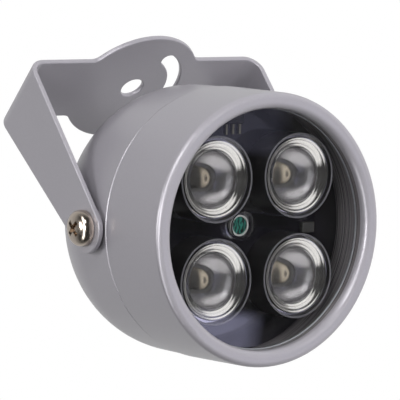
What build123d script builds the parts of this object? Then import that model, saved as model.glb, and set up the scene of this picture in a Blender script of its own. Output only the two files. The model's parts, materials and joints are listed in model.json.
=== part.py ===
from build123d import *
from math import cos, radians, sin, sqrt
import os

os.makedirs("parts", exist_ok=True)

# Infrared illuminator: a round die-cast lamp head with four infrared emitters behind glass,
# carried by two screws in the arms of a folded U bracket.
# It hangs from a ceiling or an eave. The origin is the centre of the bracket's mounting hole
# on its upper face, +Z goes up into the ceiling, X runs through the two pivot screws, and the
# lamp shines towards -Y and down. All sizes are in millimetres. "Depth" is measured along the
# lamp's axis, back from the rim of the front lip.

# Bracket, folded from one strip
strip_thick = 1.2
arm_length = 42.0  # upper face of the web down to the pivot
bend_inner_radius = 3.0
web_half_width = 9.0
arm_half_width_at_pivot = 5.3
arm_end_radius = 5.7
disc_radius = 16.4
disc_corner_radius = 2.5
mounting_hole_radius = 2.75
swing_slot_radius = 10.7
swing_slot_width = 3.3
swing_slot_half_angle = 57.0

# Pivot: an M4 pan-head screw and a thin washer on each side
screw_radius = 2.0
screw_length = 8.0
screw_head_radius = 4.0
screw_head_height = 3.1
screw_head_edge = 0.9
recess_depth = 1.9
recess_span = 4.4
recess_blade = 1.1
running_gap = 0.05  # between faces that slide on each other at the pivot
arm_hole_clearance = 0.1
thread_clearance = 0.03
washer_radius = 4.3
washer_thick = 0.4
washer_hole_clearance = 0.15
pivot_depth = 25.0
pitch_down = 46.0

# Lamp head, outside
shell_radius = 30.3
seam_step = 0.15  # how far the hood stands proud of the rear shell at the seam
hood_draft = 0.45  # taper of the hood from the seam to the lip
lip_width = 3.6
lip_thick = 3.5
lip_outer_round = 1.3
lip_inner_round = 1.5
seam_depth = 19.4
seam_chamfer = 0.3
body_length = 50.0
back_corner_radius = 20.0
shell_wall = 2.4
pivot_pad_height = 0.25
pivot_pad_radius = 4.4
pivot_boss_root = 1.2
pivot_boss_radius = 4.6
pivot_boss_length = 7.05

# Lamp head, inside
hood_wall = 2.45
seal_show = 0.2  # how far the seal shows inside the lip
seal_thick = 0.4
glass_thick = 1.5
glass_clearance = 0.2
board_depth = 13.2
board_thick = 1.6
board_seat = 0.6
board_clearance = 0.2
spigot_clearance = 0.1
spigot_wall = 2.0
spigot_end_gap = 0.05
ring_groove_width = 1.5
ring_groove_depth = 1.0
ring_groove_setback = 0.6

# Emitters, heights measured forward from the board
emitter_pitch = 22.25
holder_radius = 9.45
holder_height = 7.5
holder_rim_wall = 0.4
holder_wall = 0.9
reflector_seat = 6.0
reflector_setback = 0.4  # how far the reflector's rim lies behind the holder's
reflector_rim_wall = 0.2
reflector_flange = 0.5
reflector_flange_thick = 0.3
reflector_cone_width = 1.9
reflector_cone_drop = 1.1
reflector_wall = 0.4
reflector_throat_radius = 2.5
reflector_foot = 1.5
reflector_foot_thick = 0.3
lens_clearance = 0.05
lens_edge = 0.3
lens_dome_rise = 1.5
emitter_base_radius = 4.5
emitter_base_height = 2.7
emitter_chip_radius = 1.8
emitter_chip_height = 0.9
emitter_chip_edge = 0.25

# Daylight sensor at the middle of the board
cell_ring_radius = 2.35
cell_ring_wall = 0.35
cell_ring_height = 0.85
cell_face_height = 0.6
collar_radius = 3.3
collar_wall = 0.4
collar_height = 2.0

# Parts on the front of the board
regulator_size = (4.2, 3.2, 1.5)
regulator_across = -1.8
regulator_edge_gap = 2.7  # from its outer side to the board's edge
regulator_lead_pitch = 1.8
regulator_lead_width = 0.5
regulator_lead_reach = 2.3
diode_size = (3.3, 2.4, 1.3)
diode_place = (19.0, -1.35)

# Driver behind the board
standoff_length = 9.0
standoff_flats = 5.0
standoff_circle_radius = 17.5
standoff_screw_radius = 1.25
standoff_screw_depth = 4.0
standoff_drill_runout = 1.0
driver_hole_clearance = 0.1
driver_radius = 20.5
driver_thick = 1.6
driver_screw_head_radius = 2.25
driver_screw_head_height = 1.5
header_size = (7.6, 2.5, 2.5)
header_place = (0.0, -11.0)
header_pin = 0.64
header_pin_pitch = 2.54
coil_radius = 4.5
coil_height = 6.0
coil_place = (-8.0, 0.0)
capacitor_radius = 4.0
capacitor_height = 9.0
capacitor_place = (8.5, 3.5)
controller_size = (5.0, 4.0, 1.5)
controller_place = (0.0, 11.0)

# Cable gland in the back
gland_thread_radius = 6.0
gland_thread_length = 6.0
gland_hole_clearance = 0.15
gland_flats = 14.0
gland_flange = 3.5
gland_neck_radius = 5.2
gland_neck_length = 3.5
gland_bore_radius = 3.4
gland_pocket_radius = 4.4
gland_pocket_depth = 4.0
gland_fit = 0.05
seal_bore_radius = 2.2
seal_length = 5.2
cap_radius = 6.9
cap_length = 7.0
cap_mouth_radius = 2.9
cap_round = 2.2
locknut_flats = 15.0
locknut_thick = 2.5

# Derived sizes
pad_x = shell_radius + pivot_pad_height
pivot_boss_inner = pad_x - pivot_boss_length
washer_outer_x = pad_x + washer_thick
half_gap = washer_outer_x + running_gap
arm_gap = 2 * half_gap  # between the inner faces of the arms
arm_outer = half_gap + strip_thick
screw_seat_x = arm_outer + running_gap
seam_radius = shell_radius + seam_step
lip_radius = seam_radius - hood_draft
lip_bore_radius = lip_radius - lip_width
seal_inner_radius = lip_bore_radius - seal_show
bore_radius = seam_radius - hood_wall
seal_outer_radius = bore_radius - glass_clearance / 2
glass_radius = bore_radius - glass_clearance
glass_front = lip_thick + seal_thick
board_bore_radius = bore_radius + board_seat
board_radius = board_bore_radius - board_clearance
regulator_up = board_radius - regulator_edge_gap - regulator_size[1] / 2
spigot_radius = board_bore_radius - spigot_clearance
spigot_inner_radius = spigot_radius - spigot_wall
spigot_front = board_depth + board_thick + spigot_end_gap
ring_front = seam_depth - ring_groove_setback - ring_groove_width
corner_centre_radius = shell_radius - back_corner_radius
corner_centre_depth = body_length - back_corner_radius
inner_corner_radius = back_corner_radius - shell_wall
reflector_top = holder_height - reflector_setback
reflector_radius = holder_radius - holder_rim_wall - lens_clearance
reflector_rim_radius = reflector_radius - reflector_flange
reflector_mouth_radius = reflector_rim_radius - reflector_rim_wall
lens_pocket_radius = reflector_mouth_radius - reflector_cone_width
lens_pocket_top = reflector_top - reflector_cone_drop
lens_seat = lens_pocket_top - lens_edge
lens_radius = lens_pocket_radius - lens_clearance
driver_depth = board_depth + board_thick + standoff_length
driver_rear = driver_depth + driver_thick
# Ball radii of the domed faces, from each dome's edge radius and rise
screw_dome_rise = screw_head_height - screw_head_edge
screw_head_ball = (screw_head_radius**2 + screw_dome_rise**2) / (2 * screw_dome_rise)
lens_ball = (lens_radius**2 + lens_dome_rise**2) / (2 * lens_dome_rise)
chip_rise = emitter_chip_height - emitter_chip_edge
emitter_chip_ball = (emitter_chip_radius**2 + chip_rise**2) / (2 * chip_rise)

# The lamp's own plane: at the rim of the front lip, X as the pivot axis, Z out of the front
beam = (0.0, -cos(radians(pitch_down)), -sin(radians(pitch_down)))
lamp = Plane(
    origin=(0, pivot_depth * beam[1], pivot_depth * beam[2] - arm_length),
    x_dir=(1, 0, 0),
    z_dir=beam,
)
lamp_axis = Axis(lamp.origin, lamp.z_dir)
# Half section of the lamp: X is the radius, Y is the depth
section = Plane(origin=lamp.origin, x_dir=lamp.x_dir, z_dir=lamp.y_dir)
board_face = lamp.offset(-board_depth)
board_back = lamp.offset(-board_depth - board_thick)
driver_front_face = lamp.offset(-driver_depth)
driver_back_face = lamp.offset(-driver_rear)
pivot_plane = Plane(origin=(0, 0, -arm_length), x_dir=(0, 1, 0), z_dir=(1, 0, 0))

# Bracket: a strip folded into a U, its arms tapering to round ends, a disc spread out of the
# web with the mounting hole at its centre and a curved slot beside it for swinging the lamp
bend_outer_radius = bend_inner_radius + strip_thick
taper_length = arm_length - bend_outer_radius
taper = (web_half_width - arm_half_width_at_pivot) / taper_length
kink_a = 1 + taper * taper
kink_b = 2 * taper * arm_half_width_at_pivot
kink_c = arm_half_width_at_pivot**2 - arm_end_radius**2
kink_up = (-kink_b - sqrt(kink_b**2 - 4 * kink_a * kink_c)) / (2 * kink_a)
kink_width = arm_half_width_at_pivot + taper * kink_up

with BuildPart() as bracket:
    # The folded strip, full width
    with BuildSketch(Plane.XZ) as strip_section:
        Rectangle(2 * arm_outer, arm_length + arm_end_radius, align=(Align.CENTER, Align.MAX))
        fillet(strip_section.vertices().group_by(Axis.Y)[-1], bend_outer_radius)
    extrude(amount=web_half_width, both=True)
    with BuildSketch(Plane.XZ) as inside:
        with Locations((0, -strip_thick)):
            Rectangle(arm_gap, arm_length + arm_end_radius, align=(Align.CENTER, Align.MAX))
        fillet(inside.vertices().group_by(Axis.Y)[-1], bend_inner_radius)
    extrude(amount=web_half_width + 1, both=True, mode=Mode.SUBTRACT)
    # Side outline of the arms
    with BuildSketch(Plane.YZ):
        with BuildLine():
            Polyline(
                (kink_width, kink_up - arm_length),
                (web_half_width, -bend_outer_radius),
                (web_half_width, 0),
                (-web_half_width, 0),
                (-web_half_width, -bend_outer_radius),
                (-kink_width, kink_up - arm_length),
            )
            ThreePointArc(
                (-kink_width, kink_up - arm_length),
                (0, -arm_length - arm_end_radius),
                (kink_width, kink_up - arm_length),
            )
        make_face()
    extrude(amount=arm_outer + 1, both=True, mode=Mode.INTERSECT)
    # The disc, blended into the strip's edges
    with BuildSketch(Plane.XY) as web_outline:
        Circle(disc_radius)
        Rectangle(2 * (arm_outer - bend_outer_radius), 2 * web_half_width)
        waist = web_outline.vertices().filter_by(lambda v: abs(v.X) < disc_radius)
        fillet(waist, disc_corner_radius)
    extrude(amount=-strip_thick)
    with BuildSketch(Plane.XY):
        Circle(mounting_hole_radius)
        SlotArc(
            CenterArc(
                (0, 0),
                swing_slot_radius,
                -swing_slot_half_angle,
                2 * swing_slot_half_angle,
                mode=Mode.PRIVATE,
            ),
            swing_slot_width,
        )
    extrude(amount=-strip_thick, mode=Mode.SUBTRACT)
    with BuildSketch(pivot_plane):
        Circle(screw_radius + arm_hole_clearance)
    extrude(amount=arm_outer + 1, both=True, mode=Mode.SUBTRACT)
bracket.part.label = "bracket"
export_step(bracket.part, "parts/bracket.step")

# Pivot screw: pan head with a cross recess, drawn with the seat of the head at height 0
with BuildPart() as one_pivot_screw:
    with BuildSketch(Plane.XZ):
        with BuildLine():
            Line((0, 0), (screw_head_radius, 0))
            Line((screw_head_radius, 0), (screw_head_radius, screw_head_edge))
            RadiusArc(
                (screw_head_radius, screw_head_edge), (0, screw_head_height), -screw_head_ball
            )
            Line((0, screw_head_height), (0, 0))
        make_face()
    revolve(axis=Axis.Z)
    fillet(one_pivot_screw.edges().filter_by(GeomType.CIRCLE).group_by(Axis.Z)[0], 0.2)
    with BuildSketch(Plane.XY):
        Circle(screw_radius)
    extrude(amount=-screw_length)
    chamfer(one_pivot_screw.faces().sort_by(Axis.Z)[0].edges(), 0.4)
    with BuildSketch(Plane.XY.offset(screw_head_height)):
        Rectangle(recess_span, recess_blade)
        Rectangle(recess_blade, recess_span)
    extrude(amount=-recess_depth, taper=12, mode=Mode.SUBTRACT)

right_seat = Plane(origin=(screw_seat_x, 0, -arm_length), x_dir=(0, 1, 0), z_dir=(1, 0, 0))
left_seat = Plane(origin=(-screw_seat_x, 0, -arm_length), x_dir=(0, 1, 0), z_dir=(-1, 0, 0))
with BuildPart(right_seat, left_seat) as pivot_screws:
    add(one_pivot_screw.part)
pivot_screws.part.label = "pivot_screws"
export_step(pivot_screws.part, "parts/pivot_screws.step")

# Washers between the arms and the pads of the housing
right_pad = Plane(origin=(pad_x, 0, -arm_length), x_dir=(0, 1, 0), z_dir=(1, 0, 0))
left_pad = Plane(origin=(-pad_x, 0, -arm_length), x_dir=(0, 1, 0), z_dir=(-1, 0, 0))
with BuildPart() as pivot_washers:
    with BuildSketch(right_pad, left_pad):
        Circle(washer_radius)
        Circle(screw_radius + washer_hole_clearance, mode=Mode.SUBTRACT)
    extrude(amount=washer_thick)
pivot_washers.part.label = "pivot_washers"
export_step(pivot_washers.part, "parts/pivot_washers.step")

# Front hood: a thick rolled lip, a bore for glass and emitters, and a shoulder for the board
with BuildPart() as hood:
    with BuildSketch(section) as hood_section:
        with BuildLine():
            Polyline(
                (lip_bore_radius, 0),
                (lip_radius, 0),
                (seam_radius, seam_depth),
                (board_bore_radius, seam_depth),
                (board_bore_radius, board_depth),
                (bore_radius, board_depth),
                (bore_radius, lip_thick),
                (lip_bore_radius, lip_thick),
                close=True,
            )
        make_face()
        front_corners = hood_section.vertices().group_by(Axis.Y)[0].sort_by(Axis.X)
        fillet(front_corners[0], lip_inner_round)
        front_corners = hood_section.vertices().group_by(Axis.Y)[0].sort_by(Axis.X)
        fillet(front_corners[-1], lip_outer_round)
        rear_corner = hood_section.vertices().group_by(Axis.Y)[-1].sort_by(Axis.X)[-1]
        chamfer(rear_corner, seam_chamfer)
    revolve(axis=lamp_axis)
hood.part.label = "hood"
export_step(hood.part, "parts/hood.step")

# Rear shell: one even wall carried round the large back corner, a spigot that enters the hood,
# a groove for the sealing ring, and a tapped boss with a flat pad at each pivot
with BuildPart() as rear_shell:
    with BuildSketch(section) as shell_section:
        with BuildLine():
            Polyline(
                (gland_thread_radius + gland_hole_clearance, body_length - shell_wall),
                (gland_thread_radius + gland_hole_clearance, body_length),
                (corner_centre_radius, body_length),
            )
            RadiusArc(
                (corner_centre_radius, body_length),
                (shell_radius, corner_centre_depth),
                back_corner_radius,
            )
            Polyline(
                (shell_radius, corner_centre_depth),
                (shell_radius, seam_depth),
                (spigot_radius, seam_depth),
                (spigot_radius, spigot_front),
                (spigot_inner_radius, spigot_front),
                (spigot_inner_radius, seam_depth + shell_wall / 2),
                (shell_radius - shell_wall, seam_depth + shell_wall),
                (shell_radius - shell_wall, corner_centre_depth),
            )
            RadiusArc(
                (shell_radius - shell_wall, corner_centre_depth),
                (corner_centre_radius, body_length - shell_wall),
                -inner_corner_radius,
            )
            Line(
                (corner_centre_radius, body_length - shell_wall),
                (gland_thread_radius + gland_hole_clearance, body_length - shell_wall),
            )
        make_face()
        seam_corner = shell_section.vertices().group_by(Axis.X)[-1].sort_by(Axis.Y)[0]
        chamfer(seam_corner, seam_chamfer)
        with Locations((spigot_radius, ring_front + ring_groove_width / 2)):
            Rectangle(2 * ring_groove_depth, ring_groove_width, mode=Mode.SUBTRACT)
    revolve(axis=lamp_axis)
    with BuildSketch(right_pad, left_pad):
        Circle(pivot_pad_radius)
    extrude(amount=-(pad_x - shell_radius + shell_wall / 2))
    with BuildSketch(right_pad.offset(-pivot_boss_root), left_pad.offset(-pivot_boss_root)):
        Circle(pivot_boss_radius)
    extrude(amount=-(pivot_boss_length - pivot_boss_root))
    with BuildSketch(right_pad, left_pad):
        Circle(screw_radius + thread_clearance)
    extrude(amount=-2 * pivot_boss_length, mode=Mode.SUBTRACT)
rear_shell.part.label = "rear_shell"
export_step(rear_shell.part, "parts/rear_shell.step")

# Sealing ring in the groove of the spigot
with BuildPart() as seam_ring:
    with BuildSketch(section):
        with Locations(
            (
                board_bore_radius - (ring_groove_depth + spigot_clearance) / 2,
                ring_front + ring_groove_width / 2,
            )
        ):
            Circle((ring_groove_depth + spigot_clearance) / 2)
    revolve(axis=lamp_axis)
seam_ring.part.label = "seam_ring"
export_step(seam_ring.part, "parts/seam_ring.step")

# Silicone bead between the lip and the glass
with BuildPart() as glass_seal:
    with BuildSketch(lamp.offset(-glass_front)):
        Circle(seal_outer_radius)
        Circle(seal_inner_radius, mode=Mode.SUBTRACT)
    extrude(amount=seal_thick)
glass_seal.part.label = "glass_seal"
export_step(glass_seal.part, "parts/glass_seal.step")

# Front glass, a flat disc
with BuildPart() as front_glass:
    with BuildSketch(lamp.offset(-glass_front)):
        Circle(glass_radius)
    extrude(amount=-glass_thick)
front_glass.part.label = "front_glass"
export_step(front_glass.part, "parts/front_glass.step")

# Circuit board that carries the emitters, clamped on the hood's shoulder by the spigot
with BuildPart() as led_board:
    with BuildSketch(board_face):
        Circle(board_radius)
    extrude(amount=-board_thick)
led_board.part.label = "led_board"
export_step(led_board.part, "parts/led_board.step")

# One emitter, drawn with the board's face at height 0, then set four times in a square
with BuildPart() as one_holder:
    with BuildSketch(Plane.XZ):
        with BuildLine():
            Polyline(
                (holder_radius - holder_wall, 0),
                (holder_radius, 0),
                (holder_radius, holder_height),
                (holder_radius - holder_rim_wall, holder_height),
                (holder_radius - holder_rim_wall, reflector_seat),
                (holder_radius - holder_wall, reflector_seat),
                close=True,
            )
        make_face()
    revolve(axis=Axis.Z)

# Reflector: a bright cone down to the lens's pocket, a ledge that carries the lens, a bowl below
throat = reflector_throat_radius
throat_top = emitter_base_height + reflector_foot_thick
ledge = lens_radius - reflector_wall
bowl_mid_radius = (throat + ledge) / 2 + 0.5
bowl_mid_height = (throat_top + lens_seat) / 2 - 0.5
with BuildPart() as one_reflector:
    with BuildSketch(Plane.XZ):
        with BuildLine():
            ThreePointArc(
                (throat, throat_top), (bowl_mid_radius, bowl_mid_height), (ledge, lens_seat)
            )
            Polyline(
                (ledge, lens_seat),
                (lens_pocket_radius, lens_seat),
                (lens_pocket_radius, lens_pocket_top),
                (reflector_mouth_radius, reflector_top),
                (reflector_rim_radius, reflector_top),
                (reflector_rim_radius, reflector_seat + reflector_flange_thick),
                (reflector_radius, reflector_seat + reflector_flange_thick),
                (reflector_radius, reflector_seat),
                (holder_radius - holder_wall - lens_clearance, reflector_seat),
                (lens_pocket_radius + 1.5 * reflector_wall, lens_seat - 2 * reflector_wall),
                (throat + reflector_foot, emitter_base_height),
                (throat, emitter_base_height),
                (throat, throat_top),
            )
        make_face()
    revolve(axis=Axis.Z)

with BuildPart() as one_lens:
    with BuildSketch(Plane.XZ):
        with BuildLine():
            Polyline(
                (0, lens_pocket_top + lens_dome_rise),
                (0, lens_seat),
                (lens_radius, lens_seat),
                (lens_radius, lens_pocket_top),
            )
            RadiusArc(
                (lens_radius, lens_pocket_top), (0, lens_pocket_top + lens_dome_rise), -lens_ball
            )
        make_face()
    revolve(axis=Axis.Z)

with BuildPart() as one_base:
    Cylinder(
        emitter_base_radius,
        emitter_base_height,
        align=(Align.CENTER, Align.CENTER, Align.MIN),
    )
    chamfer(one_base.faces().sort_by(Axis.Z)[-1].edges(), 0.2)

with BuildPart() as one_chip:
    with BuildSketch(Plane.XZ):
        with BuildLine():
            Polyline(
                (0, emitter_base_height + emitter_chip_height),
                (0, emitter_base_height),
                (emitter_chip_radius, emitter_base_height),
                (emitter_chip_radius, emitter_base_height + emitter_chip_edge),
            )
            RadiusArc(
                (emitter_chip_radius, emitter_base_height + emitter_chip_edge),
                (0, emitter_base_height + emitter_chip_height),
                -emitter_chip_ball,
            )
        make_face()
    revolve(axis=Axis.Z)

with BuildPart(board_face) as led_holders:
    with GridLocations(emitter_pitch, emitter_pitch, 2, 2):
        add(one_holder.part)
led_holders.part.label = "led_holders"
export_step(led_holders.part, "parts/led_holders.step")

with BuildPart(board_face) as reflectors:
    with GridLocations(emitter_pitch, emitter_pitch, 2, 2):
        add(one_reflector.part)
reflectors.part.label = "reflectors"
export_step(reflectors.part, "parts/reflectors.step")

with BuildPart(board_face) as led_lenses:
    with GridLocations(emitter_pitch, emitter_pitch, 2, 2):
        add(one_lens.part)
led_lenses.part.label = "led_lenses"
export_step(led_lenses.part, "parts/led_lenses.step")

with BuildPart(board_face) as led_bases:
    with GridLocations(emitter_pitch, emitter_pitch, 2, 2):
        add(one_base.part)
led_bases.part.label = "led_bases"
export_step(led_bases.part, "parts/led_bases.step")

with BuildPart(board_face) as led_chips:
    with GridLocations(emitter_pitch, emitter_pitch, 2, 2):
        add(one_chip.part)
led_chips.part.label = "led_chips"
export_step(led_chips.part, "parts/led_chips.step")

# Daylight sensor: a light-sensitive cell in a metal ring, inside a short clear collar
with BuildPart() as cell_ring:
    with BuildSketch(board_face):
        Circle(cell_ring_radius)
        Circle(cell_ring_radius - cell_ring_wall, mode=Mode.SUBTRACT)
    extrude(amount=cell_ring_height)
cell_ring.part.label = "cell_ring"
export_step(cell_ring.part, "parts/cell_ring.step")

with BuildPart() as sensor_cell:
    with BuildSketch(board_face):
        Circle(cell_ring_radius - cell_ring_wall)
    extrude(amount=cell_face_height)
sensor_cell.part.label = "sensor_cell"
export_step(sensor_cell.part, "parts/sensor_cell.step")

with BuildPart() as sensor_collar:
    with BuildSketch(board_face):
        Circle(collar_radius)
        Circle(collar_radius - collar_wall, mode=Mode.SUBTRACT)
    extrude(amount=collar_height)
sensor_collar.part.label = "sensor_collar"
export_step(sensor_collar.part, "parts/sensor_collar.step")

# Small regulator lying flat at the top of the board, with three leads bent down to it
with BuildPart(board_face) as regulator:
    with Locations((regulator_across, regulator_up, 0)):
        Box(*regulator_size, align=(Align.CENTER, Align.CENTER, Align.MIN))
    front_edges = regulator.edges().filter_by(Axis.X).group_by(lamp_axis)[-1]
    chamfer(front_edges, 0.3)
regulator.part.label = "regulator"
export_step(regulator.part, "parts/regulator.step")

lead_top = regulator_up - regulator_size[1] / 2
with BuildPart(board_face) as regulator_leads:
    with Locations((regulator_across, lead_top, 0)):
        with GridLocations(regulator_lead_pitch, 0, 3, 1):
            Box(
                regulator_lead_width,
                regulator_lead_reach,
                regulator_lead_width,
                align=(Align.CENTER, Align.MAX, Align.MIN),
            )
regulator_leads.part.label = "regulator_leads"
export_step(regulator_leads.part, "parts/regulator_leads.step")

with BuildPart(board_face) as board_diode:
    with Locations((*diode_place, 0)):
        Box(*diode_size, align=(Align.CENTER, Align.CENTER, Align.MIN))
    chamfer(board_diode.faces().sort_by(lamp_axis)[-1].edges(), 0.2)
board_diode.part.label = "board_diode"
export_step(board_diode.part, "parts/board_diode.step")

# Driver board on three hexagonal standoffs, with its screws
with BuildPart() as standoffs:
    with BuildSketch(board_back):
        with PolarLocations(standoff_circle_radius, 3, start_angle=90):
            RegularPolygon(standoff_flats / 2, 6, major_radius=False)
    extrude(amount=-standoff_length)
    with BuildSketch(driver_front_face):
        with PolarLocations(standoff_circle_radius, 3, start_angle=90):
            Circle(standoff_screw_radius + thread_clearance)
    extrude(amount=standoff_screw_depth + standoff_drill_runout, mode=Mode.SUBTRACT)
standoffs.part.label = "standoffs"
export_step(standoffs.part, "parts/standoffs.step")

with BuildPart() as driver_board:
    with BuildSketch(driver_front_face):
        Circle(driver_radius)
        with PolarLocations(standoff_circle_radius, 3, start_angle=90):
            Circle(standoff_screw_radius + driver_hole_clearance, mode=Mode.SUBTRACT)
    extrude(amount=-driver_thick)
driver_board.part.label = "driver_board"
export_step(driver_board.part, "parts/driver_board.step")

with BuildPart() as driver_screws:
    with BuildSketch(driver_back_face):
        with PolarLocations(standoff_circle_radius, 3, start_angle=90):
            Circle(driver_screw_head_radius)
    extrude(amount=-driver_screw_head_height)
    fillet(driver_screws.edges().group_by(lamp_axis)[0], 0.5)
    with BuildSketch(driver_back_face):
        with PolarLocations(standoff_circle_radius, 3, start_angle=90):
            Circle(standoff_screw_radius)
    extrude(amount=driver_thick + standoff_screw_depth)
driver_screws.part.label = "driver_screws"
export_step(driver_screws.part, "parts/driver_screws.step")

# Pin header that joins the two boards
with BuildPart(driver_front_face) as board_header:
    with Locations((*header_place, 0)):
        Box(*header_size, align=(Align.CENTER, Align.CENTER, Align.MIN))
board_header.part.label = "board_header"
export_step(board_header.part, "parts/board_header.step")

with BuildPart(driver_front_face) as header_pins:
    with Locations((*header_place, header_size[2])):
        with GridLocations(header_pin_pitch, 0, 3, 1):
            Box(
                header_pin,
                header_pin,
                standoff_length - header_size[2],
                align=(Align.CENTER, Align.CENTER, Align.MIN),
            )
header_pins.part.label = "header_pins"
export_step(header_pins.part, "parts/header_pins.step")

# Driver parts: a wound coil, a capacitor and the controller
with BuildPart() as driver_coil:
    with BuildSketch(driver_back_face):
        with Locations(coil_place):
            Circle(coil_radius)
    extrude(amount=-coil_height)
    fillet(driver_coil.edges().group_by(lamp_axis)[0], 0.8)
driver_coil.part.label = "driver_coil"
export_step(driver_coil.part, "parts/driver_coil.step")

with BuildPart() as driver_capacitor:
    with BuildSketch(driver_back_face):
        with Locations(capacitor_place):
            Circle(capacitor_radius)
    extrude(amount=-capacitor_height)
    fillet(driver_capacitor.edges().group_by(lamp_axis)[0], 0.6)
driver_capacitor.part.label = "driver_capacitor"
export_step(driver_capacitor.part, "parts/driver_capacitor.step")

with BuildPart(driver_back_face) as driver_controller:
    with Locations((*controller_place, 0)):
        Box(*controller_size, align=(Align.CENTER, Align.CENTER, Align.MAX))
driver_controller.part.label = "driver_controller"
export_step(driver_controller.part, "parts/driver_controller.step")

# Cable gland: a hexagonal body through the back, a rubber seal, a domed cap and a locknut
gland_seat = lamp.offset(-body_length)
pocket_floor = body_length + gland_flange + gland_neck_length - gland_pocket_depth
with BuildPart() as gland_body:
    with BuildSketch(gland_seat):
        RegularPolygon(gland_flats / 2, 6, major_radius=False)
    extrude(amount=-gland_flange)
    with BuildSketch(gland_seat):
        Circle(gland_thread_radius)
    extrude(amount=gland_thread_length)
    with BuildSketch(gland_seat.offset(-gland_flange)):
        Circle(gland_neck_radius)
    extrude(amount=-gland_neck_length)
    with BuildSketch(gland_seat.offset(gland_thread_length)):
        Circle(gland_bore_radius)
    extrude(
        amount=-(gland_thread_length + gland_flange + gland_neck_length), mode=Mode.SUBTRACT
    )
    with BuildSketch(lamp.offset(-pocket_floor)):
        Circle(gland_pocket_radius)
    extrude(amount=-gland_pocket_depth, mode=Mode.SUBTRACT)
gland_body.part.label = "gland_body"
export_step(gland_body.part, "parts/gland_body.step")

with BuildPart() as gland_seal:
    with BuildSketch(lamp.offset(-pocket_floor)):
        Circle(gland_pocket_radius - gland_fit)
        Circle(seal_bore_radius, mode=Mode.SUBTRACT)
    extrude(amount=-seal_length)
gland_seal.part.label = "gland_seal"
export_step(gland_seal.part, "parts/gland_seal.step")

cap_front = body_length + gland_flange
cap_rear = cap_front + cap_length
neck_end = cap_front + gland_neck_length
seal_end = pocket_floor + seal_length
with BuildPart() as gland_cap:
    with BuildSketch(section) as cap_section:
        with BuildLine():
            Polyline(
                (gland_neck_radius + gland_fit, cap_front),
                (cap_radius, cap_front),
                (cap_radius, cap_rear),
                (cap_mouth_radius, cap_rear),
                (cap_mouth_radius, seal_end),
                (gland_pocket_radius, seal_end),
                (gland_pocket_radius, neck_end),
                (gland_neck_radius + gland_fit, neck_end),
                close=True,
            )
        make_face()
        cap_corner = cap_section.vertices().group_by(Axis.Y)[-1].sort_by(Axis.X)[-1]
        fillet(cap_corner, cap_round)
    revolve(axis=lamp_axis)
    # Grip notches round the cap
    with BuildSketch(lamp.offset(-cap_front)):
        with PolarLocations(cap_radius + 0.35, 12):
            Circle(0.8)
    extrude(amount=-(cap_length - cap_round), mode=Mode.SUBTRACT)
gland_cap.part.label = "gland_cap"
export_step(gland_cap.part, "parts/gland_cap.step")

with BuildPart() as gland_nut:
    with BuildSketch(lamp.offset(-body_length + shell_wall)):
        RegularPolygon(locknut_flats / 2, 6, major_radius=False)
        Circle(gland_thread_radius + thread_clearance, mode=Mode.SUBTRACT)
    extrude(amount=locknut_thick)
gland_nut.part.label = "gland_nut"
export_step(gland_nut.part, "parts/gland_nut.step")
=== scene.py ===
import json
import math
import bpy
from mathutils import Matrix, Vector

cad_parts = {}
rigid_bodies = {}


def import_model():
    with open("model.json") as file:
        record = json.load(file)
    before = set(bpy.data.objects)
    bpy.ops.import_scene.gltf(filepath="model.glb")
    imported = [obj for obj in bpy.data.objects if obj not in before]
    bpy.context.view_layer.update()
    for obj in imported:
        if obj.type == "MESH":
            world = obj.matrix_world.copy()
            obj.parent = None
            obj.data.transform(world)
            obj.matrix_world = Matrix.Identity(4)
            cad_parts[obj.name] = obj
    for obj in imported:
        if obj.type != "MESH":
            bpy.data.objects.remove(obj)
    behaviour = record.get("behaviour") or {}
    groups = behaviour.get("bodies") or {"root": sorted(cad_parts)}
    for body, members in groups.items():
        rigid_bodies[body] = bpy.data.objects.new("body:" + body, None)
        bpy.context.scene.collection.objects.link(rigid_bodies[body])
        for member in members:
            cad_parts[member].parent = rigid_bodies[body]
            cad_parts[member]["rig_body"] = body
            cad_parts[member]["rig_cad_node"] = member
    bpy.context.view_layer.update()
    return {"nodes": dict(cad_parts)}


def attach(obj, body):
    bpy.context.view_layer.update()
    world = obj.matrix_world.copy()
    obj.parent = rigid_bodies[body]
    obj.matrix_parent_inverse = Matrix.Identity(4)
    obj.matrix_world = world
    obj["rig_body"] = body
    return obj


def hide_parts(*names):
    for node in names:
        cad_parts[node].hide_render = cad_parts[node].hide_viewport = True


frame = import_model()

# Camera. It stands in front of the lamp and to its left, a little above the lamp's own axis,
# and looks up at it, because the lamp hangs from a ceiling and shines down at 46 degrees.
camera_right = Vector((0.81199, -0.41267, -0.41276))
camera_up = Vector((0.04654, -0.65915, 0.75057))
camera_forward = Vector((0.58181, 0.62867, 0.51602))
camera_place = Vector((-0.32993, -0.35838, -0.33021))
camera_data = bpy.data.cameras.new("camera")
camera_data.lens = 226.74
camera_data.sensor_width = 36.0
camera_data.clip_start = 0.01
camera = bpy.data.objects.new("camera", camera_data)
bpy.context.scene.collection.objects.link(camera)
camera_turn = Matrix((camera_right, camera_up, -camera_forward)).transposed().to_4x4()
camera.matrix_world = Matrix.Translation(camera_place) @ camera_turn
bpy.context.scene.camera = camera

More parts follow.
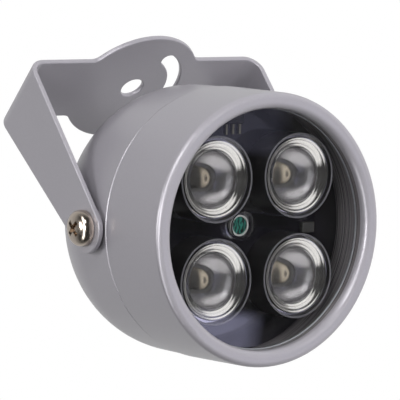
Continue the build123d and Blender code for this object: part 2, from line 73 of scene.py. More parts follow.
# Floor. A plain pale floor far below the hanging lamp. Only the camera sees it: other rays pass
# through to the surround, so nothing on the lamp mirrors its edge.
floor_size = 16.0
floor_level = -1.8
bpy.ops.object.select_all(action="DESELECT")
bpy.ops.mesh.primitive_plane_add(size=floor_size, location=(0, 0, floor_level))
floor = bpy.context.object
floor.name = "floor"
floor_finish = bpy.data.materials.new("pale_floor")
floor_finish.use_nodes = True
floor_tree = floor_finish.node_tree
floor_shader = floor_tree.nodes["Principled BSDF"]
floor_shader.inputs["Base Color"].default_value = (0.82, 0.82, 0.82, 1)
floor_shader.inputs["Roughness"].default_value = 0.9
floor_shader.inputs["Specular IOR Level"].default_value = 0.1
floor_shader.inputs["Emission Color"].default_value = (1, 1, 1, 1)
floor_shader.inputs["Emission Strength"].default_value = 0.35
floor_rays = floor_tree.nodes.new("ShaderNodeLightPath")
floor_open = floor_tree.nodes.new("ShaderNodeBsdfTransparent")
floor_both = floor_tree.nodes.new("ShaderNodeMixShader")
floor_out = floor_tree.nodes["Material Output"]
floor_tree.links.new(floor_rays.outputs["Is Camera Ray"], floor_both.inputs[0])
floor_tree.links.new(floor_open.outputs[0], floor_both.inputs[1])
floor_tree.links.new(floor_shader.outputs[0], floor_both.inputs[2])
floor_tree.links.new(floor_both.outputs[0], floor_out.inputs["Surface"])
floor.data.materials.append(floor_finish)


# Surround. It is white behind the lamp and dims towards the room behind the camera, while the
# camera itself sees white everywhere. Gloss and glass show a few bright things of a studio in it.
def feed(tree, value, socket):
    """Gives a socket a plain value or another node's output."""
    if isinstance(value, bpy.types.NodeSocket):
        tree.links.new(value, socket)
    else:
        socket.default_value = value


def add_math(tree, operation, *values, kind="ShaderNodeMath"):
    """A math node, of which each value is a plain one or an output."""
    node = tree.nodes.new(kind)
    node.operation = operation
    for value, socket in zip(values, node.inputs):
        feed(tree, value, socket)
    return node.outputs[0]


def add_fade(tree, value, start, end, top=1.0, bottom=0.0, soft=False):
    """Goes from bottom to top while a value goes from start to end."""
    node = tree.nodes.new("ShaderNodeMapRange")
    node.interpolation_type = "SMOOTHSTEP" if soft else "LINEAR"
    node.inputs["From Min"].default_value = start
    node.inputs["From Max"].default_value = end
    node.inputs["To Min"].default_value = bottom
    node.inputs["To Max"].default_value = top
    tree.links.new(value, node.inputs["Value"])
    return node.outputs["Result"]


world = bpy.data.worlds.new("studio")
bpy.context.scene.world = world
world.use_nodes = True
sky = world.node_tree
sky.nodes.clear()
sky_place = sky.nodes.new("ShaderNodeTexCoord").outputs["Generated"]
sky_rays = sky.nodes.new("ShaderNodeLightPath").outputs


def sky_along(direction):
    """How far a place of the surround lies in a direction, from -1 to 1."""
    part = add_math(sky, "DOT_PRODUCT", sky_place, direction, kind="ShaderNodeVectorMath")
    return part.node.outputs["Value"]


sky_height = sky_along(camera_up)
sky_side = sky_along(camera_right)
sky_back = sky_along(-camera_forward)
sky_ahead = sky_along((camera_forward + camera_up * 0.15).normalized())
sky_fall = add_fade(sky, sky_ahead, start=-0.25, end=0.5, top=0.58, bottom=0.04, soft=True)

# Bright bands high and low, for what is seen through the glass
band_height = add_math(sky, "ABSOLUTE", sky_height)
band = add_fade(sky, band_height, start=0.38, end=0.62, top=1.15, soft=True)
band_seen = add_math(sky, "MULTIPLY", band, sky_rays["Is Transmission Ray"])

# A tall bright strip left of the camera, for the painted and plated faces alone
strip_at = -0.42
strip_off = add_math(sky, "ABSOLUTE", add_math(sky, "SUBTRACT", sky_side, strip_at))
strip_across = add_fade(sky, strip_off, start=0.20, end=0.08, top=4.5, soft=True)
strip_near = add_fade(sky, sky_back, start=0.3, end=0.5)
strip = add_math(sky, "MULTIPLY", strip_across, strip_near)
strip_ray = add_math(
    sky, "SUBTRACT", sky_rays["Is Glossy Ray"], sky_rays["Is Transmission Ray"]
)
strip_ray.node.use_clamp = True
strip_seen = add_math(sky, "MULTIPLY", strip, strip_ray)

# Two pale lavender cards at the right, which lie as patches on the glossy board
card_side = add_fade(sky, sky_side, start=0.84, end=0.90, soft=True)
card_near = add_fade(sky, sky_back, start=0.274, end=0.282)
card_low = add_fade(sky, sky_height, start=-0.174, end=-0.178)
card_high = add_fade(sky, sky_height, start=-0.114, end=-0.110, top=0.2)
card_area = add_math(sky, "MULTIPLY", card_side, card_near)
card = add_math(sky, "MULTIPLY", card_area, add_math(sky, "MAXIMUM", card_low, card_high))
card_ray = add_math(sky, "MAXIMUM", sky_rays["Is Glossy Ray"], sky_rays["Is Transmission Ray"])
card_seen = add_math(sky, "MULTIPLY", card, card_ray)
card_power = 1.8

sky_white = add_math(sky, "MAXIMUM", add_math(sky, "MAXIMUM", sky_fall, band_seen), strip_seen)
sky_glow = sky.nodes.new("ShaderNodeBackground")
sky_glow.inputs["Color"].default_value = (1, 1, 1, 1)
feed(
    sky,
    add_math(sky, "MAXIMUM", sky_rays["Is Camera Ray"], sky_white),
    sky_glow.inputs["Strength"],
)
card_glow = sky.nodes.new("ShaderNodeBackground")
card_glow.inputs["Color"].default_value = (0.60, 0.60, 0.86, 1)
feed(sky, add_math(sky, "MULTIPLY", card_seen, card_power), card_glow.inputs["Strength"])
sky_sum = sky.nodes.new("ShaderNodeAddShader")
sky_out = sky.nodes.new("ShaderNodeOutputWorld")
sky.links.new(card_glow.outputs[0], sky_sum.inputs[0])
sky.links.new(sky_glow.outputs[0], sky_sum.inputs[1])
sky.links.new(sky_sum.outputs[0], sky_out.inputs["Surface"])

# Studio lamps. Five soft round lamps: over the camera, beside it, at the far left, low at the
# right and high at the right. None shows through the glass, and gloss shows only the first three.
lamps_aim = Vector((0.0, -0.005, -0.045))
matt_lamps = ("lamp_below", "lamp_right")
for lamp_name, across, above, before, width, power in (
    ("lamp_over_camera", -0.10, 0.75, 1.0, 0.35, 3.5),
    ("lamp_front", -0.38, 0.0, 1.2, 0.45, 4.0),
    ("lamp_left", -1.1, 0.10, 0.60, 0.5, 6.0),
    ("lamp_below", 1.05, -0.70, 0.45, 0.5, 3.0),
    ("lamp_right", 0.90, 0.50, 0.85, 0.7, 21.0),
):
    lamp_data = bpy.data.lights.new(lamp_name, "AREA")
    lamp_data.shape = "DISK"
    lamp_data.size = width
    lamp_data.energy = power
    lamp = bpy.data.objects.new(lamp_name, lamp_data)
    bpy.context.scene.collection.objects.link(lamp)
    lamp_at = lamps_aim + camera_right * across + camera_up * above - camera_forward * before
    lamp.location = lamp_at
    lamp.rotation_euler = (lamps_aim - lamp_at).to_track_quat("-Z", "Y").to_euler()
    lamp.visible_glossy = lamp_name not in matt_lamps
    lamp.visible_transmission = False


# Bracket. One strip of 1.2 mm steel, cut with a disc, a hole and a curved slot, folded into a U
# and painted silver grey. The paint rounds every cut edge a little, so a copy of the strip gets
# rounded edges and stands for the sharp one.
def tone(red, green, blue):
    """A colour given as it looks on a screen, 0 to 255, in the shader's own units."""
    return tuple(
        (c / 255 / 12.92) if c / 255 <= 0.04045 else ((c / 255 + 0.055) / 1.055) ** 2.4
        for c in (red, green, blue)
    ) + (1.0,)


def new_effect(name, takes, gives):
    """An empty node group with named inputs (name, kind, default) and outputs (name, kind)."""
    group = bpy.data.node_groups.new(name, "ShaderNodeTree")
    for label, kind, default in takes:
        socket = group.interface.new_socket(label, in_out="INPUT", socket_type=kind)
        socket.default_value = default
    for label, kind in gives:
        group.interface.new_socket(label, in_out="OUTPUT", socket_type=kind)
    takes_node = group.nodes.new("NodeGroupInput")
    gives_node = group.nodes.new("NodeGroupOutput")
    return group, takes_node.outputs, gives_node.inputs


def add_effect(tree, group, **values):
    """Places a node group in a material and sets its inputs, with _ for each space."""
    node = tree.nodes.new("ShaderNodeGroup")
    node.node_tree = group
    for label, value in values.items():
        node.inputs[label.replace("_", " ")].default_value = value
    return node


def add_noise(tree, place, scale, detail):
    """Cloudy noise at a place, its scale a plain value or an output."""
    node = tree.nodes.new("ShaderNodeTexNoise")
    tree.links.new(place, node.inputs["Vector"])
    feed(tree, scale, node.inputs["Scale"])
    node.inputs["Detail"].default_value = detail
    return node.outputs["Fac"]


def new_finish(name, roughness, metallic=0.0, specular=0.5, coat=0.0, coat_roughness=0.1):
    """A material and its Principled shader, set to plain values."""
    finish = bpy.data.materials.new(name)
    finish.use_nodes = True
    shader = finish.node_tree.nodes["Principled BSDF"]
    shader.inputs["Roughness"].default_value = roughness
    shader.inputs["Metallic"].default_value = metallic
    shader.inputs["Specular IOR Level"].default_value = specular
    shader.inputs["Coat Weight"].default_value = coat
    shader.inputs["Coat Roughness"].default_value = coat_roughness
    return finish, shader


# Fine grain: cloudy tone, a small speckle, uneven gloss and a low bump, all in object space
grain_group, grain_in, grain_out = new_effect(
    "fine_grain",
    (
        ("Colour", "NodeSocketColor", (0.5, 0.5, 0.5, 1)),
        ("Cloud scale", "NodeSocketFloat", 60.0),
        ("Cloud", "NodeSocketFloat", 0.05),
        ("Speckle scale", "NodeSocketFloat", 3000.0),
        ("Speckle", "NodeSocketFloat", 0.05),
        ("Roughness", "NodeSocketFloat", 0.4),
        ("Gloss spread", "NodeSocketFloat", 0.05),
    ),
    (
        ("Colour", "NodeSocketColor"),
        ("Roughness", "NodeSocketFloat"),
        ("Height", "NodeSocketFloat"),
    ),
)
middle = 0.5
grain_place = grain_group.nodes.new("ShaderNodeTexCoord").outputs["Object"]
grain_cloud = add_noise(grain_group, grain_place, grain_in["Cloud scale"], detail=4.0)
grain_speckle = add_noise(grain_group, grain_place, grain_in["Speckle scale"], detail=2.0)
cloud_base = add_math(grain_group, "MULTIPLY_ADD", grain_in["Cloud"], -middle, 1.0)
cloud_level = add_math(grain_group, "MULTIPLY_ADD", grain_cloud, grain_in["Cloud"], cloud_base)
speckle_shift = add_math(grain_group, "SUBTRACT", grain_speckle, middle)
grain_level = add_math(
    grain_group, "MULTIPLY_ADD", speckle_shift, grain_in["Speckle"], cloud_level
)
grain_tint = grain_group.nodes.new("ShaderNodeVectorMath")
grain_tint.operation = "SCALE"
feed(grain_group, grain_in["Colour"], grain_tint.inputs[0])
feed(grain_group, grain_level, grain_tint.inputs["Scale"])
gloss_shift = add_math(grain_group, "SUBTRACT", grain_cloud, middle)
grain_gloss = add_math(
    grain_group, "MULTIPLY_ADD", gloss_shift, grain_in["Gloss spread"], grain_in["Roughness"]
)
feed(grain_group, grain_tint.outputs[0], grain_out["Colour"])
feed(grain_group, grain_gloss, grain_out["Roughness"])
feed(grain_group, grain_speckle, grain_out["Height"])


def finish_with_grain(name, colour, roughness, bump=0.1, bump_depth=0.00002, cloud_scale=60.0,
                      cloud=0.05, speckle_scale=3000.0, speckle=0.05, **plain):
    """A material whose colour, gloss and bump come from the fine grain."""
    finish, shader = new_finish(name, roughness, **plain)
    tree = finish.node_tree
    grain = add_effect(
        tree, grain_group, Colour=colour, Cloud_scale=cloud_scale, Cloud=cloud,
        Speckle_scale=speckle_scale, Speckle=speckle, Roughness=roughness,
    )
    grain.name = "grain"
    relief = tree.nodes.new("ShaderNodeBump")
    relief.inputs["Strength"].default_value = bump
    relief.inputs["Distance"].default_value = bump_depth
    tree.links.new(grain.outputs["Colour"], shader.inputs["Base Color"])
    tree.links.new(grain.outputs["Roughness"], shader.inputs["Roughness"])
    tree.links.new(grain.outputs["Height"], relief.inputs["Height"])
    tree.links.new(relief.outputs["Normal"], shader.inputs["Normal"])
    return finish


def copy_piece(piece, name):
    """Another piece like the first, with its own mesh."""
    twin = piece.copy()
    twin.data = piece.data.copy()
    twin.name = name
    bpy.context.scene.collection.objects.link(twin)
    return twin


def take_up(piece):
    """Makes a piece the only selected and the active one."""
    bpy.ops.object.select_all(action="DESELECT")
    piece.select_set(True)
    bpy.context.view_layer.objects.active = piece


paint = dict(
    colour=tone(163, 160, 167), roughness=0.38, bump=0.12, bump_depth=0.00003,
    cloud_scale=45.0, cloud=0.06, speckle_scale=2600.0, speckle=0.10,
    metallic=0.25, coat=0.6, coat_roughness=0.22,
)
grey_paint = finish_with_grain("silver_grey_paint", **paint)

bracket = copy_piece(frame["nodes"]["bracket"], "bracket_painted")
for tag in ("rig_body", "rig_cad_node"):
    if tag in bracket:
        del bracket[tag]
bracket.parent = None
take_up(bracket)
# The loose triangles are merged, and flat ones joined, so that only true edges are rounded
bpy.ops.object.mode_set(mode="EDIT")
bpy.ops.mesh.select_all(action="SELECT")
bpy.ops.mesh.customdata_custom_splitnormals_clear()
bpy.ops.mesh.remove_doubles(threshold=0.000002)
bpy.ops.mesh.dissolve_limited(angle_limit=math.radians(0.5))
bpy.ops.object.mode_set(mode="OBJECT")
bpy.ops.object.shade_smooth()
rounding = bracket.modifiers.new("rounding", "BEVEL")
rounding.width = 0.00042
rounding.segments = 4
rounding.limit_method = "ANGLE"
rounding.angle_limit = math.radians(50)
bpy.ops.object.modifier_apply(modifier="rounding")
evening = bracket.modifiers.new("evening", "WEIGHTED_NORMAL")
evening.mode = "FACE_AREA"
evening.weight = 80
bpy.ops.object.modifier_apply(modifier="evening")
bracket.data.materials.clear()
bracket.data.materials.append(grey_paint)
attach(bracket, "bracket")
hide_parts("bracket")


# Pivot screws. Two M4 pan heads of bright nickel-plated steel, which hold the head in the arms.
# The head is turned full and round, and a tapered cross for the driver is pressed into its top.
def turn_on_lathe(name, rings, steps=96):
    """A round piece: a ring, or a disc where it starts near the axis, is extruded from ring to
    ring, each (radius, height) in mm."""
    bpy.ops.object.select_all(action="DESELECT")
    radius, height = rings[0]
    solid = radius < 0.5
    bpy.ops.mesh.primitive_circle_add(
        vertices=steps, radius=radius / 1000, fill_type="NGON" if solid else "NOTHING",
        location=(0, 0, height / 1000),
    )
    piece = bpy.context.object
    piece.name = name
    bpy.ops.object.transform_apply(location=True)
    bpy.ops.object.mode_set(mode="EDIT")
    bpy.ops.mesh.select_mode(type="VERT")
    bpy.ops.mesh.select_all(action="SELECT")
    for next_radius, next_height in rings[1:]:
        if solid:
            bpy.ops.mesh.extrude_region()
        else:
            bpy.ops.mesh.extrude_edges_indiv()
        grow = next_radius / radius
        bpy.ops.transform.resize(value=(grow, grow, 1), center_override=(0, 0, 0))
        bpy.ops.transform.translate(value=(0, 0, (next_height - height) / 1000))
        radius, height = next_radius, next_height
    bpy.ops.mesh.select_all(action="SELECT")
    bpy.ops.mesh.remove_doubles(threshold=0.000001)
    bpy.ops.mesh.normals_make_consistent(inside=False)
    bpy.ops.object.mode_set(mode="OBJECT")
    bpy.ops.object.shade_smooth_by_angle(angle=math.radians(35))
    return piece


def select_faces(piece, wanted):
    """Selects the faces that pass a test, and nothing else, in edit mode."""
    bpy.ops.object.mode_set(mode="EDIT")
    bpy.ops.mesh.select_mode(type="FACE")
    bpy.ops.mesh.select_all(action="DESELECT")
    bpy.ops.object.mode_set(mode="OBJECT")
    for face in piece.data.polygons:
        face.select = wanted(face)
    bpy.ops.object.mode_set(mode="EDIT")


def settle(piece, place):
    """Moves a piece made at the origin to its place and applies that to its mesh."""
    piece.matrix_world = place
    take_up(piece)
    bpy.ops.object.transform_apply(location=True, rotation=True, scale=True)


def dress(node_name, finish):
    """Gives a finish to a node of the part."""
    frame["nodes"][node_name].material_slots[0].material = finish


nickel = finish_with_grain(
    "bright_nickel", tone(196, 184, 172), 0.2, bump=0.10, bump_depth=0.00004,
    cloud_scale=320.0, cloud=0.35, speckle_scale=1500.0, speckle=0.06, metallic=1.0,
)
dress("pivot_screws", nickel)

shank_rings = [(0.25, -8.0), (1.6, -8.0), (2.0, -7.6), (2.0, 0.0)]
pan_rings = [(3.8, 0.0), (3.95, 0.08), (4.0, 0.25), (4.0, 0.9), (3.96, 1.3), (3.82, 1.75)]
pan_rings += [(3.55, 2.15), (3.1, 2.50), (2.5, 2.77), (1.7, 2.95), (0.9, 3.02), (0.25, 3.03)]
screw = turn_on_lathe("pivot_screw_left", shank_rings + pan_rings, steps=64)
# The recess is cut by a tapered cross: a square bar with every face drawn out, the four sides
# as arms and the lower end as the pit for the driver's tip
recess_width = 0.0013
recess_reach = 0.0021
recess_bottom = 0.0012
recess_top = 0.0042
recess_taper = 0.4
bpy.ops.object.select_all(action="DESELECT")
bpy.ops.mesh.primitive_cube_add(
    size=1,
    location=(0, 0, (recess_top + recess_bottom) / 2),
    scale=(recess_width, recess_width, recess_top - recess_bottom),
)
cutter = bpy.context.object
bpy.ops.object.transform_apply(location=True, rotation=True, scale=True)
select_faces(cutter, lambda face: True)
bpy.ops.mesh.extrude_faces_indiv()
bpy.ops.transform.shrink_fatten(value=recess_reach)
select_faces(cutter, lambda face: face.normal.z < -0.5)
bpy.ops.transform.resize(value=(recess_taper, recess_taper, 1), center_override=(0, 0, 0))
bpy.ops.object.mode_set(mode="OBJECT")
recess = screw.modifiers.new("recess", "BOOLEAN")
recess.operation = "DIFFERENCE"
recess.object = cutter
recess.solver = "EXACT"
take_up(screw)
bpy.ops.object.modifier_apply(modifier="recess")
bpy.data.objects.remove(cutter)
screw.data.materials.append(nickel)

pivot_height = -0.042
screw_seat = 0.03225
for side, piece in ((-1, screw), (1, copy_piece(screw, "pivot_screw_right"))):
    seat = Matrix.Translation((side * screw_seat, 0, pivot_height))
    axis_outwards = Matrix(((0, 0, side), (side, 0, 0), (0, 1, 0))).to_4x4()
    settle(piece, seat @ axis_outwards)
    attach(piece, "head")
    if side < 0:
        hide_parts("pivot_screws")

# Pivot washers. A thin ring of the same plated steel lies between each arm and the pad on the
# housing, so that the head turns without rubbing off the paint.
dress("pivot_washers", nickel)


# Hood. An aluminium casting, painted like the bracket outside and over the lip. Its bore was
# turned after painting, so the wall behind the lip is bare metal with fine turning marks,
# coloured dark as a painted reflection of the dark inside.
def open_finish(finish):
    """The node tree of a finish, its Principled shader and its grain."""
    tree = finish.node_tree
    return tree, tree.nodes["Principled BSDF"], tree.nodes["grain"]


def add_ramp(tree, value, *stops):
    """Colours that follow a value, each given as (value, colour)."""
    node = tree.nodes.new("ShaderNodeValToRGB")
    first, second = node.color_ramp.elements
    first.position, first.color = stops[0]
    second.position, second.color = stops[1]
    for position, colour in stops[2:]:
        node.color_ramp.elements.new(position).color = colour
    tree.links.new(value, node.inputs["Fac"])
    return node.outputs["Color"]


def mix_colours(tree, factor, first, second, blend="MIX"):
    """Mixes two colours, each a plain one or an output."""
    node = tree.nodes.new("ShaderNodeMix")
    node.data_type = "RGBA"
    node.blend_type = blend
    feed(tree, factor, node.inputs[0])
    feed(tree, first, node.inputs[6])
    feed(tree, second, node.inputs[7])
    return node.outputs[2]


def add_lamp_place(tree):
    """Where a point of the surface lies on the lamp: Y runs back along its axis."""
    node = tree.nodes.new("ShaderNodeMapping")
    node.vector_type = "TEXTURE"
    node.inputs["Location"].default_value = lamp_origin
    node.inputs["Rotation"].default_value = (lamp_turn, 0, 0)
    tree.links.new(tree.nodes.new("ShaderNodeTexCoord").outputs["Object"], node.inputs["Vector"])
    return node.outputs[0]


lamp_turn = math.radians(46)
lip_ahead = 0.025
lamp_origin = Vector(
    (0, -lip_ahead * math.cos(lamp_turn), pivot_height - lip_ahead * math.sin(lamp_turn))
)
place_group, _, place_out = new_effect(
    "place_on_lamp", (), (("Radius", "NodeSocketFloat"), ("Depth", "NodeSocketFloat"))
)
place_split = place_group.nodes.new("ShaderNodeSeparateXYZ")
feed(place_group, add_lamp_place(place_group), place_split.inputs[0])
place_x = place_split.outputs["X"]
place_z = place_split.outputs["Z"]
place_x2 = add_math(place_group, "MULTIPLY", place_x, place_x)
place_r2 = add_math(place_group, "MULTIPLY_ADD", place_z, place_z, place_x2)
feed(place_group, add_math(place_group, "SQRT", place_r2), place_out["Radius"])
feed(place_group, place_split.outputs["Y"], place_out["Depth"])

hood_finish = finish_with_grain("hood_paint_and_bore", **paint)
hood_tree, hood_shader, hood_grain = open_finish(hood_finish)
hood_place = add_effect(hood_tree, place_group).outputs
bore_marks = hood_tree.nodes.new("ShaderNodeTexNoise")
bore_marks.noise_dimensions = "1D"
bore_marks.inputs["Scale"].default_value = 2600.0
bore_marks.inputs["Detail"].default_value = 3.0
feed(hood_tree, hood_place["Depth"], bore_marks.inputs["W"])
# Painted reflection: the bore is coloured dark for the black inside that its bare metal mirrors;
# the stripes are real turning marks
bore_marks_and_reflection = add_ramp(
    hood_tree, bore_marks.outputs["Fac"], (0.35, tone(30, 28, 29)), (0.65, tone(134, 129, 131))
)
# Bare metal starts 2.2 mm behind the lip's front and ends short of the outer face
bore_start = 0.0022
bore_reach = 0.0288
bore_deep = add_math(hood_tree, "GREATER_THAN", hood_place["Depth"], bore_start)
bore_narrow = add_math(hood_tree, "LESS_THAN", hood_place["Radius"], bore_reach)
bore_mask = add_math(hood_tree, "MULTIPLY", bore_deep, bore_narrow)
hood_colour = mix_colours(hood_tree, bore_mask, hood_grain.outputs["Colour"], bore_marks_and_reflection)
feed(hood_tree, hood_colour, hood_shader.inputs["Base Color"])
dress("hood", hood_finish)

# Rear shell. A second aluminium casting with a large round back and a tapped boss for each pivot
# screw. Its spigot enters the hood, and it has the same paint as the hood and the bracket.
dress("rear_shell", grey_paint)

# Sealing ring. A ring of black rubber in the groove of the rear shell's spigot, which the hood
# presses flat, so that no water gets in at the seam.
rubber = finish_with_grain(
    "black_rubber", tone(34, 34, 35), 0.6, bump=0.2, cloud=0.2, speckle=0.2
)
dress("seam_ring", rubber)

# Glass seal. A bead of clear silicone that glues the glass into the hood. Its edge shows as a
# thin pale line inside the lip.
silicone = finish_with_grain(
    "clear_silicone", tone(128, 130, 134), 0.35, bump=0.1, cloud_scale=900.0, cloud=0.3
)
dress("glass_seal", silicone)


# Front glass. A flat disc of clear tempered glass, glued in behind the lip. Light for what lies
# behind it passes straight through.
def new_clear_finish(name, roughness, ior, specular, shade):
    """A clear material, through which shadow rays go straight, a little dimmed."""
    finish, shader = new_finish(name, roughness, specular=specular)
    shader.inputs["Base Color"].default_value = (1, 1, 1, 1)
    shader.inputs["Transmission Weight"].default_value = 1.0
    shader.inputs["IOR"].default_value = ior
    tree = finish.node_tree
    rays = tree.nodes.new("ShaderNodeLightPath")
    clear = tree.nodes.new("ShaderNodeBsdfTransparent")
    clear.inputs["Color"].default_value = shade
    both = tree.nodes.new("ShaderNodeMixShader")
    tree.links.new(rays.outputs["Is Shadow Ray"], both.inputs[0])
    tree.links.new(shader.outputs[0], both.inputs[1])
    tree.links.new(clear.outputs[0], both.inputs[2])
    tree.links.new(both.outputs[0], tree.nodes["Material Output"].inputs["Surface"])
    return finish


glass = new_clear_finish(
    "front_glass", roughness=0.0, ior=1.5, specular=0.12, shade=(0.94, 0.95, 0.95, 1)
)
dress("front_glass", glass)

# Emitter board. A round glass-fibre board under a thick glossy black mask. It lies on the hood's
# shoulder, where the rear shell's spigot clamps it.
mask = finish_with_grain(
    "black_mask", tone(12, 10, 16), 0.08, bump=0.05, cloud_scale=120.0, cloud=0.3,
    coat=0.6, coat_roughness=0.04,
)
dress("led_board", mask)

# Emitter holders. Four round cups of black moulded plastic stand on the board and carry the
# reflectors. A paler grey on their front edge is a painted highlight along the rim.
holder_finish = finish_with_grain(
    "holder_plastic", tone(26, 25, 26), 0.3, bump=0.1, cloud=0.2
)
holder_tree, holder_shader, holder_grain = open_finish(holder_finish)
holder_depth = add_effect(holder_tree, place_group).outputs["Depth"]
# Painted highlight: the front rim is coloured a paler grey in place of light caught on its edge
holder_highlight_depth = 0.00582
holder_rim_highlight = add_math(holder_tree, "LESS_THAN", holder_depth, holder_highlight_depth)
holder_colour = mix_colours(
    holder_tree, holder_rim_highlight, holder_grain.outputs["Colour"], tone(74, 73, 76)
)
feed(holder_tree, holder_colour, holder_shader.inputs["Base Color"])
dress("led_holders", holder_finish)

# Emitter lenses. A flat-backed dome of clear acrylic closes each reflector. It is moulded in one
# piece and held by its rim.
board_depth = 0.0132
emitter_pitch = 11.125
emitter_places = (
    (-emitter_pitch, emitter_pitch),
    (emitter_pitch, emitter_pitch),
    (-emitter_pitch, -emitter_pitch),
    (emitter_pitch, -emitter_pitch),
)
board_place = lamp_origin + Vector(
    (0, board_depth * math.cos(lamp_turn), board_depth * math.sin(lamp_turn))
)
board_turn = Matrix(
    (
        (1, 0, 0),
        (0, -math.sin(lamp_turn), -math.cos(lamp_turn)),
        (0, math.cos(lamp_turn), -math.sin(lamp_turn)),
    )
).to_4x4()


def set_on_board(first, kind):
    """Copies a piece made at the origin to the four emitters' places on the board's front."""
    pieces = [first] + [copy_piece(first, "%s_%d" % (kind, number)) for number in (2, 3, 4)]
    for piece, (across, up) in zip(pieces, emitter_places):
        step = Matrix.Translation((across / 1000, up / 1000, 0))
        settle(piece, Matrix.Translation(board_place) @ board_turn @ step)
    return pieces


acrylic = new_clear_finish(
    "clear_acrylic", roughness=0.10, ior=1.49, specular=0.5, shade=(0.9, 0.9, 0.92, 1)
)
lens_top = 7.5
lens_fall = 1.5
lens_radius = 6.35
dome_radii = (1.2, 2.4, 3.4, 4.3, 5.0, 5.6, 6.0, lens_radius)
lens_rings = [(0.25, lens_top)]
lens_rings += [(r, lens_top - lens_fall * (r / lens_radius) ** 2) for r in dome_radii]
lens_rings += [(lens_radius, 5.8), (6.0, 5.72), (3.0, 5.72), (0.25, 5.72)]
lens = turn_on_lathe("emitter_lens_1", lens_rings)
lens.data.materials.append(acrylic)
for piece in set_on_board(lens, "emitter_lens"):
    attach(piece, "head")
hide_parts("led_lenses")

# Reflectors. Moulded cups with a thin mirror coat, dropped into the holders. Fine steps run
# round the cone outside the lens, and the bowl behind the lens is dimmer.
mirror = finish_with_grain(
    "mirror_coat", tone(226, 224, 221), 0.10, bump=0.02, cloud_scale=200.0, cloud=0.05,
    metallic=1.0,
)
dress("reflectors", mirror)
dim_bowl = finish_with_grain(
    "dim_bowl", tone(196, 193, 195), 0.26, bump=0.02, cloud_scale=350.0, cloud=0.4,
    metallic=1.0,
)
rim_rings = [(8.5, 6.3), (8.5, 7.0), (8.44, 7.1), (8.3, 7.1), (8.18, 7.03), (7.95, 6.93)]
cone_rings = [(7.88, 6.86), (7.84, 6.86), (7.4, 6.6), (7.05, 6.4), (6.96, 6.31), (6.92, 6.32)]
cone_rings += [(6.6, 6.12), (6.46, 6.02), (6.4, 5.9), (6.4, 5.7)]
bowl_rings = [(5.95, 5.7), (5.85, 5.25), (5.5, 4.65), (4.725, 3.85), (3.7, 3.3), (2.5, 3.0)]
back_rings = [(2.5, 2.7), (4.0, 2.7), (7.0, 4.9), (8.5, 6.0), (9.0, 6.0), (9.0, 6.3), (8.5, 6.3)]
bowl_top = 0.0057
cup = turn_on_lathe("emitter_cup_1", rim_rings + cone_rings + bowl_rings + back_rings)
cup.data.materials.append(mirror)
cup.data.materials.append(dim_bowl)
for face in cup.data.polygons:
    if face.center.z < bowl_top:
        face.material_index = 1
for piece in set_on_board(cup, "emitter_cup"):
    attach(piece, "head")
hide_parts("reflectors")

# Emitter bases. A dark ceramic disc under each reflector carries the chip and is soldered to the
# board.
ceramic = finish_with_grain("dark_ceramic", tone(70, 68, 66), 0.4, cloud=0.1)
dress("led_bases", ceramic)

# Emitter chips. The infrared chip is cast in a dome of amber gel on its base. It shows as a
# pale ring with a darker middle, and fades towards the dome's edge.
emitter_group, _, emitter_out = new_effect(
    "place_on_emitter", (), (("Radius", "NodeSocketFloat"),)
)
vector_math = "ShaderNodeVectorMath"
emitter_centre = (emitter_pitch / 1000, 0, emitter_pitch / 1000)
emitter_squash = (1, 0, 0.5)
emitter_fold = add_math(
    emitter_group, "ABSOLUTE", add_lamp_place(emitter_group), kind=vector_math
)
emitter_off = add_math(
    emitter_group, "SUBTRACT", emitter_fold, emitter_centre, kind=vector_math
)
emitter_flat = add_math(
    emitter_group, "MULTIPLY", emitter_off, emitter_squash, kind=vector_math
)
emitter_far = add_math(emitter_group, "LENGTH", emitter_flat, kind=vector_math)
feed(emitter_group, emitter_far.node.outputs["Value"], emitter_out["Radius"])

gel = finish_with_grain(
    "amber_gel", tone(206, 188, 160), 0.5, cloud=0.3, cloud_scale=900.0, specular=0.2
)
gel_tree = gel.node_tree
gel_radius = add_effect(gel_tree, emitter_group).outputs["Radius"]
gel_reach = 0.002
gel_colour = add_ramp(
    gel_tree,
    add_math(gel_tree, "DIVIDE", gel_radius, gel_reach),
    (0.08, tone(84, 78, 70)),
    (0.22, tone(164, 153, 136)),
    (0.34, tone(146, 136, 120)),
    (0.48, tone(56, 54, 52)),
)
feed(gel_tree, gel_colour, gel_tree.nodes["grain"].inputs["Colour"])
dress("led_chips", gel)

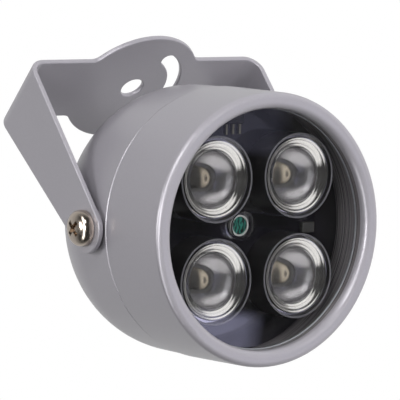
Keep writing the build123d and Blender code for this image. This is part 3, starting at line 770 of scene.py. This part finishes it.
# Daylight sensor. A green light-sensitive face with a dark winding track, in a tinned ring. It
# looks out through a clear collar that stands on the board.
green_face = finish_with_grain(
    "sensor_green", tone(36, 98, 86), 0.3, cloud=0.2, coat=0.5
)
green_tree, green_shader, green_grain = open_finish(green_face)
track_place = green_tree.nodes.new("ShaderNodeTexCoord").outputs["Object"]
track = green_tree.nodes.new("ShaderNodeTexWave")
track.bands_direction = "X"
track.inputs["Scale"].default_value = 330.0
track.inputs["Distortion"].default_value = 9.0
track.inputs["Detail Scale"].default_value = 2.0
feed(green_tree, track_place, track.inputs["Vector"])
track_colour = add_ramp(
    green_tree, track.outputs["Fac"], (0.45, tone(10, 42, 38)), (0.6, tone(255, 255, 255))
)
green_colour = mix_colours(
    green_tree, 1.0, green_grain.outputs["Colour"], track_colour, blend="MULTIPLY"
)
feed(green_tree, green_colour, green_shader.inputs["Base Color"])
dress("sensor_cell", green_face)
tin = finish_with_grain("tinned_metal", tone(188, 187, 184), 0.38, cloud=0.15, metallic=0.45)
dress("cell_ring", tin)
dress("sensor_collar", acrylic)

# Regulator and diode. A flat regulator in black moulded plastic with three dull tinned leads at
# the board's top, and a small diode in grey epoxy at its right, all soldered to the board.
black_plastic = finish_with_grain(
    "black_plastic", tone(30, 29, 30), 0.35, bump=0.1, cloud=0.2
)
dress("regulator", black_plastic)
lead_metal = finish_with_grain(
    "dull_lead_metal", tone(116, 112, 100), 0.4, cloud=0.2, metallic=0.3
)
dress("regulator_leads", lead_metal)
epoxy = finish_with_grain("grey_epoxy", tone(46, 45, 44), 0.4, cloud=0.3, cloud_scale=400.0)
dress("board_diode", epoxy)

# Driver. A green circuit board on three plated brass standoffs, held by three screws. Soldered
# to it are a pin header, a coil in black rubber, a capacitor in a blue sleeve and a controller.
green_mask = finish_with_grain("green_mask", tone(24, 92, 48), 0.25, cloud=0.2, coat=0.4)
brass = finish_with_grain("plated_brass", tone(205, 186, 130), 0.3, cloud=0.1, metallic=1.0)
sleeve = finish_with_grain("capacitor_sleeve", tone(36, 44, 84), 0.3, cloud=0.1)
dress("driver_board", green_mask)
dress("standoffs", brass)
dress("header_pins", brass)
dress("driver_screws", nickel)
dress("board_header", black_plastic)
dress("driver_coil", rubber)
dress("driver_capacitor", sleeve)
dress("driver_controller", black_plastic)

# Cable gland. A body, a cap and a locknut of moulded black nylon in the middle of the back, with
# a rubber seal in the cap's mouth that closes round the cord.
nylon = finish_with_grain(
    "black_nylon", tone(38, 38, 40), 0.42, bump=0.25, cloud=0.15, speckle=0.2
)
dress("gland_body", nylon)
dress("gland_cap", nylon)
dress("gland_nut", nylon)
dress("gland_seal", rubber)

# Picture. Colours are shown as they are.
bpy.context.scene.view_settings.view_transform = "Standard"
